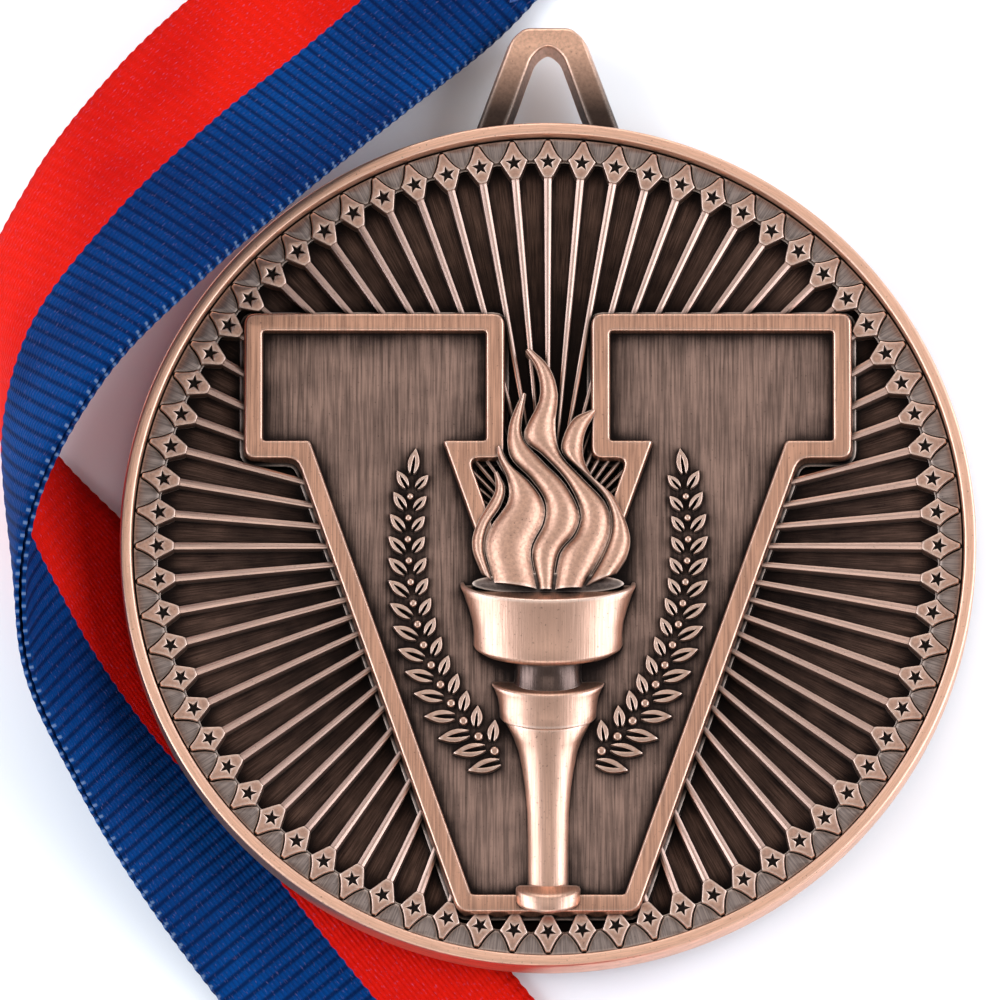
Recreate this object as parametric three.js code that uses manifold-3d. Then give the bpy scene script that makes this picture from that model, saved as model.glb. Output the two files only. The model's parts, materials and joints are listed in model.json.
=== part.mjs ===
// Sports finisher medal with its neck ribbon, lying face up on a flat surface.
// Millimetres. +Z points out of the medal's face and +Y towards its suspension loop.
// The origin is the centre of the raised boss on the reverse, which rests on the surface.

import * as THREE from "three";
import { mergeVertices } from "three/addons/utils/BufferGeometryUtils.js";
import Module from "manifold-3d";

const wasm = await Module();
wasm.setup();

// ---- Driving dimensions ----

const DISC_RADIUS = 35;
const BOSS_RADIUS = 21;
const RIM_WIDTH = 1.35;
const CLEARANCE = 0.3;
const LAID_GAP = 0.05;
const ROUND_SEGMENTS = 72;

// Heights of the relief's levels above the surface that the boss rests on.
const FLANGE_Z = 2.3;
const FIELD_Z = 4;
const LEDGE_Z = 5.2;
const PANEL_Z = 5.6;
const LAUREL_Z = 6.2;
const RIM_Z = 6.6;
const FLAME_Z = 7.6;

const RAY_COUNT = 72;
const RAY_HALF_WIDTH = 0.25;
const HUB_RADIUS = 3;
const LEDGE_INNER_RADIUS = 31.5;
const LEDGE_OUTER_RADIUS = 33.35;
const DIAMOND_INNER_RADIUS = 30.6;
const DIAMOND_WIDE_RADIUS = 31.9;
const DIAMOND_HALF_WIDTH = 1.17;

const PLAQUE_FRAME_WIDTH = 1.45;
const PLAQUE_CORNER_RADIUS = 0.9;

const TORCH_LEAN = 0.65;
const TORCH_SEGMENTS = 32;

const LEAF_PAIRS = 15;
const LEAF_ANGLE = THREE.MathUtils.degToRad(38);
const LEAF_PITCH = 1.78;
const STEM_HALF_WIDTH = 0.16;
const STEM_HEIGHT = 0.25;
const STEM_STEPS = 16;

const LOOP_BOTTOM_Z = 2.6;
const LOOP_TOP_Z = 5.6;

// The ribbon is a closed loop laid double, so half its length lies along the route.
const RIBBON_WIDTH = 20;
const RIBBON_LENGTH = 800;
const DOUBLED_THICKNESS = 1.1;
const ROLL_PITCH = 1.2;
const ROLL_INNER_RADIUS = 2;
const LEAD_IN = 5.5;
const STITCH_WIDTH = 0.7;
const FOLD_INNER_RADIUS = 0.95;
const FOLD_OUTER_RADIUS = 1.45;
const WIRE_RADIUS = 0.55;
const CLIP_REACH = 13;

// ---- Materials ----

const bronze = (color, roughness) =>
  new THREE.MeshStandardMaterial({ color, roughness, metalness: 1 });
const brightBronze = bronze(0xd9a27a, 0.32);
const satinBronze = bronze(0xb98563, 0.42);
const darkBronze = bronze(0x4a3830, 0.55);
const panelBronze = bronze(0x6e554b, 0.5);
const wovenRibbon = new THREE.MeshStandardMaterial({ color: 0xc8201a, roughness: 0.85 });
const blueThread = new THREE.MeshStandardMaterial({ color: 0x1c3a78, roughness: 0.8 });
const nickelWire = new THREE.MeshStandardMaterial({ color: 0xc9ccd0, roughness: 0.25, metalness: 1 });

// ---- Solids and geometry ----

const medal = new THREE.Group();

function solidOf(geometry) {
  const bare = geometry.clone();
  bare.deleteAttribute("normal");
  bare.deleteAttribute("uv");
  const merged = mergeVertices(bare, 1e-4);
  return new wasm.Manifold(
    new wasm.Mesh({
      numProp: 3,
      vertProperties: new Float32Array(merged.attributes.position.array),
      triVerts: new Uint32Array(merged.index.array),
    }),
  );
}

function geometryOf(solid) {
  const mesh = solid.getMesh();
  const geometry = new THREE.BufferGeometry();
  geometry.setAttribute("position", new THREE.BufferAttribute(mesh.vertProperties, 3));
  geometry.setIndex(new THREE.BufferAttribute(mesh.triVerts, 1));
  geometry.computeVertexNormals();
  return geometry;
}

function add(name, geometry, material) {
  const mesh = new THREE.Mesh(geometry, material);
  mesh.name = name;
  medal.add(mesh);
  return mesh;
}

// A flat shape raised from one level to another.
function raise(shape, bottom, top, curveSegments = 12) {
  const geometry = new THREE.ExtrudeGeometry(shape, {
    depth: top - bottom,
    bevelEnabled: false,
    curveSegments,
  });
  return geometry.translate(0, 0, bottom);
}

// A closed ring or disc turned about the medal's axis, from [radius, height] points.
function turned(profile) {
  const points = profile.map(([radius, height]) => new THREE.Vector2(radius, height));
  return new THREE.LatheGeometry(points, ROUND_SEGMENTS).rotateX(Math.PI / 2);
}

function largestBody(solid) {
  const bodies = solid.decompose();
  return bodies.reduce((a, b) => (b.volume() > a.volume() ? b : a));
}

// A solid grown sideways by a clearance, for cutting its neighbours back.
function grown(solid, clearance) {
  const copies = [];
  for (let i = 0; i < 8; i++) {
    const angle = (i * Math.PI) / 4;
    copies.push(solid.translate([clearance * Math.cos(angle), clearance * Math.sin(angle), 0]));
  }
  return wasm.Manifold.union(copies);
}

// ---- Outlines ----

// Mirrors the right half of an outline, listed from the top down, to the left.
function mirrored(rightHalf) {
  const leftHalf = rightHalf.map(([x, y]) => [-x, y]).reverse();
  return [...rightHalf, ...leftHalf].filter(
    ([x, y], i, all) => i === 0 || x !== all[i - 1][0] || y !== all[i - 1][1],
  );
}

// Moves each side of a clockwise outline outwards by a distance, with mitred corners.
function offset(outline, distance) {
  return outline.map((corner, i) => {
    const before = outline.at(i - 1);
    const after = outline[(i + 1) % outline.length];
    const a = new THREE.Vector2(corner[0] - before[0], corner[1] - before[1]).normalize();
    const b = new THREE.Vector2(after[0] - corner[0], after[1] - corner[1]).normalize();
    const outward = new THREE.Vector2(-a.y - b.y, a.x + b.x);
    outward.multiplyScalar(distance / (1 + a.dot(b)));
    return [corner[0] + outward.x, corner[1] + outward.y];
  });
}

// A polygon whose corners are rounded by about the given radius.
function roundedShape(outline, radius) {
  const shape = new THREE.Shape();
  outline.forEach((corner, i) => {
    const here = new THREE.Vector2(...corner);
    const toBefore = new THREE.Vector2(...outline.at(i - 1)).sub(here).normalize();
    const toAfter = new THREE.Vector2(...outline[(i + 1) % outline.length]).sub(here).normalize();
    const start = here.clone().addScaledVector(toBefore, radius);
    const end = here.clone().addScaledVector(toAfter, radius);
    if (i === 0) shape.moveTo(start.x, start.y);
    else shape.lineTo(start.x, start.y);
    shape.quadraticCurveTo(here.x, here.y, end.x, end.y);
  });
  shape.closePath();
  return shape;
}

function polygonShape(outline) {
  return new THREE.Shape(outline.map((corner) => new THREE.Vector2(...corner)));
}

// The big plaque: a plain block V for victory, with slab ends, clockwise from the top of its gap.
const plaqueOutline = mirrored([
  [0, -11.3],
  [6.5, 7.1],
  [3.6, 7.1],
  [3.6, 19.1],
  [24.8, 19.1],
  [24.8, 7.1],
  [20.5, 7.1],
  [7.3, -30.5],
]).slice(0, -1);

// ---- Disc, rim and sunburst ----

function makeDisc() {
  const disc = turned([
    [0, 0],
    [BOSS_RADIUS - 0.3, 0],
    [BOSS_RADIUS, 0.3],
    [BOSS_RADIUS, FLANGE_Z],
    [DISC_RADIUS - 0.4, FLANGE_Z],
    [DISC_RADIUS, FLANGE_Z + 0.4],
    [DISC_RADIUS, FIELD_Z],
    [0, FIELD_Z],
  ]);
  add("medal_disc", disc, darkBronze);
}

function makeRim() {
  const inner = DISC_RADIUS - RIM_WIDTH;
  const rim = turned([
    [inner, FIELD_Z],
    [DISC_RADIUS, FIELD_Z],
    [DISC_RADIUS, RIM_Z - 0.35],
    [DISC_RADIUS - 0.35, RIM_Z],
    [inner + 0.15, RIM_Z],
    [inner, RIM_Z - 0.15],
    [inner, FIELD_Z],
  ]);
  add("raised_rim", rim, brightBronze);
}

// One ray along +Y: a thin bar that ends in a diamond with hollowed sides.
function rayShape() {
  const shape = new THREE.Shape();
  shape.moveTo(-RAY_HALF_WIDTH, 0);
  shape.lineTo(-RAY_HALF_WIDTH, DIAMOND_INNER_RADIUS);
  shape.lineTo(-DIAMOND_HALF_WIDTH, DIAMOND_WIDE_RADIUS);
  shape.quadraticCurveTo(-0.35, DIAMOND_WIDE_RADIUS + 0.5, 0, LEDGE_OUTER_RADIUS);
  shape.quadraticCurveTo(0.35, DIAMOND_WIDE_RADIUS + 0.5, DIAMOND_HALF_WIDTH, DIAMOND_WIDE_RADIUS);
  shape.lineTo(RAY_HALF_WIDTH, DIAMOND_INNER_RADIUS);
  shape.lineTo(RAY_HALF_WIDTH, 0);
  return shape;
}

function makeSunburst() {
  const ray = raise(rayShape(), FIELD_Z, PANEL_Z, 2);
  const pieces = [];
  for (let i = 0; i < RAY_COUNT; i++) {
    pieces.push(solidOf(ray.clone().rotateZ((i * 2 * Math.PI) / RAY_COUNT)));
  }
  const ledge = turned([
    [LEDGE_INNER_RADIUS, FIELD_Z],
    [LEDGE_OUTER_RADIUS, FIELD_Z],
    [LEDGE_OUTER_RADIUS, LEDGE_Z],
    [LEDGE_INNER_RADIUS, LEDGE_Z],
    [LEDGE_INNER_RADIUS, FIELD_Z],
  ]);
  pieces.push(solidOf(ledge));
  const hub = new THREE.CylinderGeometry(HUB_RADIUS, HUB_RADIUS, PANEL_Z - FIELD_Z, 24);
  pieces.push(solidOf(hub.rotateX(Math.PI / 2).translate(0, 0, (PANEL_Z + FIELD_Z) / 2)));
  const cut = raise(polygonShape(offset(plaqueOutline, CLEARANCE)), FIELD_Z - 1, RIM_Z);
  const sunburst = wasm.Manifold.union(pieces).subtract(solidOf(cut));
  add("star_rays", geometryOf(largestBody(sunburst)), satinBronze);
}

// ---- Torch and flame ----

// Half of a turned piece lying on the panel, its front leaning towards the foot of the medal.
// The profile gives [half width, y] from the lower end to the upper one.
function halfTurned(profile, depthRatio, base = PANEL_Z) {
  const points = profile.map(([radius, y]) => new THREE.Vector2(radius, y));
  points.unshift(new THREE.Vector2(0, points[0].y));
  points.push(new THREE.Vector2(0, points.at(-1).y));
  const lathe = new THREE.LatheGeometry(points, TORCH_SEGMENTS);
  lathe.scale(1, 1, depthRatio);
  lathe.applyMatrix4(new THREE.Matrix4().makeShear(0, 0, 0, 0, 0, -TORCH_LEAN));
  lathe.translate(0, 0, base);
  const above = new THREE.BoxGeometry(40, 80, 20).translate(0, 0, base + 10);
  return solidOf(lathe).intersect(solidOf(above));
}

const torch = {
  torch_bowl: halfTurned(
    [
      [5.7, -8.6],
      [6.05, -8.4],
      [6.05, -6.9],
      [6.45, -5.2],
      [7.17, -3.4],
      [7.17, -3.1],
    ],
    0.42,
  ),
  torch_neck: halfTurned(
    [
      [2.78, -11],
      [2.78, -9.2],
    ],
    0.6,
  ),
  torch_collar: halfTurned(
    [
      [3.9, -14.3],
      [3.9, -13],
      [4.2, -12],
      [4.6, -11.3],
    ],
    0.48,
  ),
  torch_handle: halfTurned(
    [
      [1.67, -28],
      [1.67, -23.5],
      [1.9, -20],
      [2.33, -17.3],
      [3.47, -14.6],
    ],
    0.6,
  ),
  torch_foot: halfTurned(
    [
      [2.3, -29.8],
      [2.64, -29.3],
      [2.64, -28.5],
      [2.3, -28.3],
    ],
    0.6,
    RIM_Z,
  ),
};

function makeTorch() {
  for (const [name, solid] of Object.entries(torch)) {
    add(name, geometryOf(solid), name === "torch_handle" ? brightBronze : satinBronze);
  }
}

// Each tongue of flame has a left and a right edge, both from the bowl up to its tip.
const FLAME_TONGUES = [
  tongueShape(
    [[-5.2, -2.8], [-6.1, -0.3], [-5.7, 1.6], [-4.4, 3.9], [-4.2, 5], [-4.3, 5.8]],
    [[-4.75, -2.8], [-5.3, -0.6], [-5, 1.4], [-3.9, 3.2], [-3.6, 4.6], [-4.3, 5.8]],
  ),
  tongueShape(
    [[-4.45, -2.8], [-5, -0.5], [-4.6, 1.3], [-3.2, 3.4], [-3.2, 5.2], [-4, 7.1], [-4.05, 8]],
    [[-1.2, -2.8], [-1.5, -0.6], [-0.5, 1.7], [-0.45, 3.3], [-1.5, 5], [-3.2, 6.6], [-4.05, 8]],
  ),
  tongueShape(
    [[-0.9, -2.8], [-1.2, -0.7], [-0.2, 1.6], [-0.15, 3.5], [-1.3, 5.3], [-3, 7.2], [-3.1, 9.7],
      [-2.05, 12.4]],
    [[0.3, -2.8], [0.75, -0.9], [2.1, 0.9], [2.45, 2.6], [1.3, 4.9], [-0.6, 6.9], [-2.2, 9], [-2.05, 12.4]],
  ),
  tongueShape(
    [[0.6, -2.8], [1.1, -0.9], [2.4, 0.8], [2.75, 2.7], [1.6, 5.2], [-0.3, 7.3], [-1.9, 8.9], [-0.6, 12],
      [-0.8, 14.4], [-1.7, 16.1]],
    [[2.75, -2.8], [4.3, -0.9], [5, 1.2], [4.6, 3.3], [2.6, 5.5], [0.9, 7.5], [0.5, 9.8], [0.7, 12.4],
      [0, 14.6], [-1.7, 16.1]],
  ),
  tongueShape(
    [[3.1, -2.8], [4.6, -1], [5.3, 1.3], [4.8, 3.6], [2.9, 5.8], [1.3, 7.4], [1.35, 8.8], [2.2, 10.3],
      [3.8, 11]],
    [[5.2, -2.8], [6.4, -0.9], [6.55, 1], [5.3, 3.9], [3.6, 5.5], [2.8, 7.3], [2.95, 9.2], [3.8, 11]],
  ),
];

function tongueShape(left, right) {
  const edge = (points) => {
    const curve = new THREE.SplineCurve(points.map((point) => new THREE.Vector2(...point)));
    return curve.getPoints(2 * left.length);
  };
  return new THREE.Shape([...edge(right), ...edge(left).slice(0, -1).reverse()]);
}

const tongues = FLAME_TONGUES.map((shape) => solidOf(raise(shape, PANEL_Z, FLAME_Z)));

function makeFlame() {
  tongues.forEach((solid, i) => add("flame_tongue_" + (i + 1), geometryOf(solid), brightBronze));
}

// ---- Plaque ----

function makePlaque() {
  const outer = roundedShape(plaqueOutline, PLAQUE_CORNER_RADIUS);
  add("v_panel", raise(outer, FIELD_Z, PANEL_Z, 4), panelBronze);
  const inner = polygonShape(offset(plaqueOutline, -PLAQUE_FRAME_WIDTH));
  const keptClear = [...tongues, ...Object.values(torch)].map((solid) => grown(solid, CLEARANCE));
  const frame = solidOf(raise(outer, PANEL_Z, RIM_Z, 4))
    .subtract(solidOf(raise(inner, PANEL_Z - 1, RIM_Z + 1)))
    .subtract(wasm.Manifold.union(keptClear));
  add("v_frame", geometryOf(largestBody(frame)), brightBronze);
}

// ---- Laurel sprays ----

const laurelStem = new THREE.CatmullRomCurve3(
  [
    [-3.97, -17.1],
    [-5.19, -16],
    [-7.43, -13.3],
    [-9.04, -10.3],
    [-10.2, -6.95],
    [-10.87, -3.35],
    [-11.06, 0.3],
    [-10.97, 4],
    [-10.8, 5.6],
  ].map(([x, y]) => new THREE.Vector3(x, y, 0)),
);

// A leaf along +X from its base, pointed at both ends.
function leafShape(length, width) {
  const shape = new THREE.Shape();
  shape.quadraticCurveTo(length * 0.45, -width, length, 0);
  shape.quadraticCurveTo(length * 0.45, width, 0, 0);
  return shape;
}

// A flat band of constant width along a curve.
function bandShape(curve, halfWidth) {
  const edge = (side) =>
    curve.getSpacedPoints(STEM_STEPS).map((point, i) => {
      const along = curve.getTangentAt(i / STEM_STEPS);
      return new THREE.Vector2(point.x - side * along.y * halfWidth, point.y + side * along.x * halfWidth);
    });
  return new THREE.Shape([...edge(-1), ...edge(1).reverse()]);
}

function laurelSolid() {
  const pieces = [];
  const stemLength = laurelStem.getLength();
  const leafAt = (distance, turn, length, width) => {
    const along = Math.min(distance / stemLength, 1);
    const base = laurelStem.getPointAt(along);
    const direction = laurelStem.getTangentAt(along);
    const leaf = raise(leafShape(length, width), PANEL_Z, LAUREL_Z, 2);
    leaf.rotateZ(turn).translate(0, Math.sign(turn) * STEM_HALF_WIDTH * 0.6, 0);
    leaf.rotateZ(Math.atan2(direction.y, direction.x));
    return solidOf(leaf.translate(base.x, base.y, 0));
  };
  for (let i = 0; i < LEAF_PAIRS - 1; i++) {
    const size = 1 - i / LEAF_PAIRS;
    for (const side of [-1, 1]) {
      pieces.push(leafAt(i * LEAF_PITCH, side * LEAF_ANGLE, 2.1 + 0.8 * size, 0.85 + 0.25 * size));
    }
  }
  pieces.push(leafAt(stemLength - 0.2, 0, 2.5, 0.9));
  pieces.push(solidOf(raise(bandShape(laurelStem, STEM_HALF_WIDTH), PANEL_Z, PANEL_Z + STEM_HEIGHT)));
  return wasm.Manifold.union(pieces);
}

function makeLaurels() {
  const left = laurelSolid();
  add("laurel_left", geometryOf(left), satinBronze);
  add("laurel_right", geometryOf(left.mirror([1, 0, 0])), satinBronze);
}

// ---- Suspension loop ----

function makeLoop() {
  const outline = mirrored([
    [1.9, 43.1],
    [2.95, 42.2],
    [5.75, 34],
  ]);
  const shape = roundedShape(outline, 0.35);
  const eye = new THREE.Path();
  eye.moveTo(-3.1, 33);
  eye.lineTo(-1.3, 39.6);
  eye.quadraticCurveTo(0, 42.4, 1.3, 39.6);
  eye.lineTo(3.1, 33);
  const eyeSolid = solidOf(raise(new THREE.Shape(eye.getPoints(8)), 0, RIM_Z));
  const clearOfDisc = DISC_RADIUS + CLEARANCE;
  const disc = new THREE.CylinderGeometry(clearOfDisc, clearOfDisc, 20, ROUND_SEGMENTS);
  const loop = solidOf(raise(shape, LOOP_BOTTOM_Z, LOOP_TOP_Z, 4))
    .subtract(eyeSolid)
    .subtract(solidOf(disc.rotateX(Math.PI / 2)));
  add("suspension_loop", geometryOf(largestBody(loop)), satinBronze);
}

// ---- Ribbon ----

// Stations 12 mm apart from the sewn end to the roll, each across the ribbon: its red edge, its
// middle and its blue edge. It climbs off the surface, turns over on its red edge, and comes back
// down to pass under the medal's rim.
const RIBBON_ROUTE = [
  [[-13.5, 62, 0.6], [-6.5, 55, 0.6], [1, 48.5, 0.6]],
  [[-19, 56.5, 0.9], [-11.5, 49.5, 1.4], [-4.5, 42.5, 2.2]],
  [[-27, 48, 3.3], [-19.5, 41.5, 5.6], [-12, 35.5, 8]],
  [[-35, 39.5, 6.7], [-27.5, 34, 10.4], [-20, 28, 13.6]],
  [[-42, 30, 7.4], [-35.5, 25.5, 13.4], [-28.3, 20, 18]],
  [[-46.3, 19.5, 5], [-42.3, 15.7, 13.3], [-36.3, 11.3, 20]],
  [[-41.6, 9.7, 1], [-44, 4.8, 9.3], [-42, 0.7, 18]],
  [[-33.2, 1, 0.6], [-39.5, -5.2, 4.5], [-42.6, -10.3, 12.7]],
  [[-25.2, -8, 0.7], [-33, -14.6, 1.7], [-38.1, -20.2, 7.6]],
  [[-17.3, -17.2, 0.7], [-24.9, -23.6, 1.1], [-32.1, -29.9, 3.9]],
  [[-9.6, -26.5, 0.6], [-17.3, -32.9, 0.7], [-25, -39.2, 0.9]],
  [[-2, -35.8, 0.6], [-9.7, -42.2, 0.6], [-17.4, -48.5, 0.6]],
  [[7.2, -47.1, 0.6], [-0.5, -53.4, 0.6], [-8.2, -59.8, 0.6]],
].map((station) => station.map((point) => new THREE.Vector3(...point)));

const [redEdge, ribbonMiddle, blueEdge] = [0, 1, 2].map((line) => {
  const points = RIBBON_ROUTE.map((station) => station[line]);
  return new THREE.CatmullRomCurve3(points, false, "catmullrom");
});

// A point of the ribbon's middle surface: along runs 0 to 1, and across from -1, red, to 1, blue.
function ribbonPoint(along, across) {
  const red = redEdge.getPoint(along);
  const middle = ribbonMiddle.getPoint(along);
  const blue = blueEdge.getPoint(along);
  const crown = red.clone().add(blue).multiplyScalar(0.5).sub(middle);
  return middle.addScaledVector(blue.sub(red), across / 2).addScaledVector(crown, across * across);
}

function ribbonNormal(along, across) {
  const step = 0.01;
  const forward = ribbonPoint(Math.min(along + step, 1), across).sub(
    ribbonPoint(Math.max(along - step, 0), across),
  );
  const sideways = ribbonPoint(along, across + step).sub(ribbonPoint(along, across - step));
  return forward.cross(sideways).normalize();
}

// A closed solid that follows the ribbon between two places on its route, from one height above
// its middle surface to another. The reach is 1 for the ribbon's full width.
function ribbonSolid(from, to, low, high, reach, steps, strips = 4) {
  const positions = [];
  const triangles = [];
  for (let i = 0; i <= steps; i++) {
    const along = from + ((to - from) * i) / steps;
    const under = [];
    for (let j = 0; j <= strips; j++) {
      const across = reach * ((2 * j) / strips - 1);
      const middle = ribbonPoint(along, across);
      const normal = ribbonNormal(along, across);
      positions.push(...middle.clone().addScaledVector(normal, high).toArray());
      under.unshift(middle.addScaledVector(normal, low).toArray());
    }
    positions.push(...under.flat());
  }
  const round = 2 * (strips + 1);
  for (let i = 0; i < steps; i++) {
    for (let j = 0; j < round; j++) {
      const a = i * round + j;
      const b = i * round + ((j + 1) % round);
      triangles.push(a, a + round, b, b, a + round, b + round);
    }
  }
  const last = steps * round;
  for (let j = 0; j < strips; j++) {
    const [a, b, c, d] = [j, j + 1, round - 2 - j, round - 1 - j];
    triangles.push(a, b, d, b, c, d);
    triangles.push(last + a, last + d, last + b, last + b, last + d, last + c);
  }
  const geometry = new THREE.BufferGeometry();
  geometry.setAttribute("position", new THREE.Float32BufferAttribute(positions, 3));
  geometry.setIndex(triangles);
  return geometry;
}

// A group just beyond an end of the ribbon: its X runs across from red to blue, its Y outwards.
function beyondRibbon(station, distance, height) {
  const [red, middle, blue] = RIBBON_ROUTE.at(station);
  const across = blue.clone().sub(red).setZ(0).normalize();
  const outwards = new THREE.Vector3(-across.y, across.x, 0);
  const group = new THREE.Group();
  group.position.copy(middle).addScaledVector(outwards, distance).setZ(height);
  group.rotation.z = Math.atan2(across.y, across.x);
  medal.add(group);
  return group;
}

function makeRibbon() {
  const half = DOUBLED_THICKNESS / 2;
  const gap = 0.0015;
  const turnStart = 5 / 12;
  const turnEnd = 8 / 12;
  const run = (name, from, to, steps) =>
    add(name, ribbonSolid(from, to, -half, half, 1, steps), wovenRibbon);
  run("ribbon_upper_run", 0, turnStart - gap, 20);
  run("ribbon_turn", turnStart + gap, turnEnd - gap, 15);
  run("ribbon_lower_run", turnEnd + gap, 1, 16);
}

// The rest of the loop is rolled up, and the route runs in under the roll.
function makeRoll() {
  const rolled = RIBBON_LENGTH / 2 - ribbonMiddle.getLength() - LEAD_IN;
  const radius = Math.sqrt(ROLL_INNER_RADIUS ** 2 + (rolled * ROLL_PITCH) / Math.PI);
  const roll = new THREE.CylinderGeometry(radius, radius, RIBBON_WIDTH, 40).rotateZ(Math.PI / 2);
  beyondRibbon(-1, LEAD_IN, radius + LAID_GAP).add(add("ribbon_roll", roll, wovenRibbon));
}

// The sewn end: the ribbon's two ends wrap the clip's bar and are stitched to each other.
function makeSewnEnd() {
  const place = beyondRibbon(0, FOLD_OUTER_RADIUS + CLEARANCE, FOLD_OUTER_RADIUS + LAID_GAP);
  const half = RIBBON_WIDTH / 2;
  const section = [
    [FOLD_INNER_RADIUS, -half],
    [FOLD_OUTER_RADIUS, -half],
    [FOLD_OUTER_RADIUS, half],
    [FOLD_INNER_RADIUS, half],
    [FOLD_INNER_RADIUS, -half],
  ].map((point) => new THREE.Vector2(...point));
  const fold = new THREE.LatheGeometry(section, 20).rotateZ(Math.PI / 2);
  place.add(add("ribbon_end_fold", fold, wovenRibbon));
  place.add(makeClip());

  const top = DOUBLED_THICKNESS / 2 + LAID_GAP;
  const seam = 2 / ribbonMiddle.getLength();
  const seamEnd = seam + STITCH_WIDTH / ribbonMiddle.getLength();
  add("end_stitching", ribbonSolid(seam, seamEnd, top, top + 0.3, 0.9, 2), blueThread);
}

// A trapezoid of spring wire whose two ends meet inside the ribbon's fold.
function makeClip() {
  const halfBar = RIBBON_WIDTH / 2 + 1.8;
  const halfNose = 3;
  const corner = 1.2;
  const side = new THREE.Vector2(halfNose - halfBar, CLIP_REACH).normalize();
  const path = new THREE.CurvePath();
  const vector = (x, y) => new THREE.Vector3(x, y, 0);
  const bend = (from, at, to) => path.add(new THREE.QuadraticBezierCurve3(from, at, to));
  const line = (from, to) => path.add(new THREE.LineCurve3(from, to));
  const points = (sign) => ({
    middle: vector(sign * 0.5, 0),
    barEnd: vector(sign * (halfBar - corner), 0),
    bar: vector(sign * halfBar, 0),
    sideStart: vector(sign * (halfBar + side.x * corner), side.y * corner),
    sideEnd: vector(sign * (halfNose - side.x * corner), CLIP_REACH - side.y * corner),
    nose: vector(sign * halfNose, CLIP_REACH),
    noseEnd: vector(sign * (halfNose - corner), CLIP_REACH),
  });
  const right = points(1);
  const left = points(-1);
  line(right.middle, right.barEnd);
  bend(right.barEnd, right.bar, right.sideStart);
  line(right.sideStart, right.sideEnd);
  bend(right.sideEnd, right.nose, right.noseEnd);
  line(right.noseEnd, left.noseEnd);
  bend(left.noseEnd, left.nose, left.sideEnd);
  line(left.sideEnd, left.sideStart);
  bend(left.sideStart, left.bar, left.barEnd);
  line(left.barEnd, left.middle);
  const section = new THREE.Shape().absarc(0, 0, WIRE_RADIUS, 0, 2 * Math.PI);
  const wire = new THREE.ExtrudeGeometry(section, { steps: 64, curveSegments: 5, extrudePath: path });
  const clip = add("wire_clip", wire, nickelWire);
  clip.rotation.x = -Math.asin((FOLD_OUTER_RADIUS - WIRE_RADIUS) / CLIP_REACH);
  return clip;
}

makeDisc();
makeRim();
makeSunburst();
makePlaque();
makeTorch();
makeFlame();
makeLaurels();
makeLoop();
makeRibbon();
makeRoll();
makeSewnEnd();

export default medal;
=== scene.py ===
"""A cast sports finisher medal with its neck ribbon and wire clip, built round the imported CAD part.

Lengths are in millimetres until mesh_piece() turns them into metres. The frame is the CAD's: the
medal lies face up, +Z out of its face and +Y towards its suspension loop.
"""

import json
import math

import bpy
import numpy as np
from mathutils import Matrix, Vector
from mathutils.geometry import tessellate_polygon


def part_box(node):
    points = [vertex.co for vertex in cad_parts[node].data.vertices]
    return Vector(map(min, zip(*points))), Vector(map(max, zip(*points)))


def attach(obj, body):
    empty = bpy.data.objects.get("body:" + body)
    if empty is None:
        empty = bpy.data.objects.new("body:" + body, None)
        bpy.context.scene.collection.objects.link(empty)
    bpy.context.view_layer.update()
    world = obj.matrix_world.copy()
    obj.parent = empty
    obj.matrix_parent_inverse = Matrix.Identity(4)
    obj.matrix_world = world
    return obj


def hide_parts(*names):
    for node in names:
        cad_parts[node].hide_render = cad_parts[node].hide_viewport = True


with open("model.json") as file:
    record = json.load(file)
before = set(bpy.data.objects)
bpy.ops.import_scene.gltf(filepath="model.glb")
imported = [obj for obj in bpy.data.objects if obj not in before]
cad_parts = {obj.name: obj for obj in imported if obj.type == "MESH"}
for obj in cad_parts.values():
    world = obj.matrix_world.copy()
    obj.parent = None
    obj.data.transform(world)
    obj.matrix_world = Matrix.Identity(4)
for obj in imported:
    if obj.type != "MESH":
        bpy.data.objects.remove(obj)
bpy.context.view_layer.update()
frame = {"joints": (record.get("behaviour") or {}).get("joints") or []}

MM = 0.001
MEDAL = "medal_and_ribbon"
CLIP = "clip"


def top_of(node):
    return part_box(node)[1].z / MM


# ---- Driving dimensions, from the frame ----

DISC_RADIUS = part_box("raised_rim")[1].x / MM
BOSS_RADIUS = 0.6 * DISC_RADIUS  # of the flat boss on the reverse
AXIS_HOLE = 0.01  # rings that reach the middle stop this far from the axis

# Heights above the table.
FLANGE = 2.3
FIELD = top_of("medal_disc")
LEDGE = FIELD + 1.2
PANEL = top_of("v_panel")
LAUREL = top_of("laurel_left")
RIM = top_of("raised_rim")

# The sunburst, by distance from the medal's axis.
RAY_COUNT = 72
RAY_PITCH = 2 * math.pi / RAY_COUNT
RAY_TOP = PANEL - 0.12
DIAMOND_FOOT = 30.6
DIAMOND_WIDE = 32.08
DIAMOND_TIP = 33.67
LEDGE_OUTER = DISC_RADIUS - 1.15
RIM_INNER = DISC_RADIUS - 0.95
DIAMOND_HALF_WIDTH = 1.12
STAR_RADIUS = 0.68
STAR_CENTRE = 31.93

FRAME_WIDTH = 1.45
TORCH_LEAN = 0.65  # how far the torch leans down the medal for each unit it rises

RIBBON_HALF_WIDTH = 10
RIBBON_LENGTH = 800  # of the whole loop, as stated; the roll is wound short, so 757 is modelled
LAYER_OFFSET = 0.28  # of each layer from the middle of the doubled ribbon
LAYER_HALF = 0.22  # half a layer's thickness
RIB_PITCH = 1.05
ROLL_PITCH = 1.2  # from one turn of the roll to the next
ROLL_CORE = 2.4
LEAD_IN = 5.5  # flat run under the roll
FOLD_RADIUS = 1.1  # of the loop that holds the clip's bar
FOLD_EASE = 3.0  # length over which the layers come together again
THREAD_RADIUS = 0.12
WIRE_RADIUS = 0.55

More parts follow.
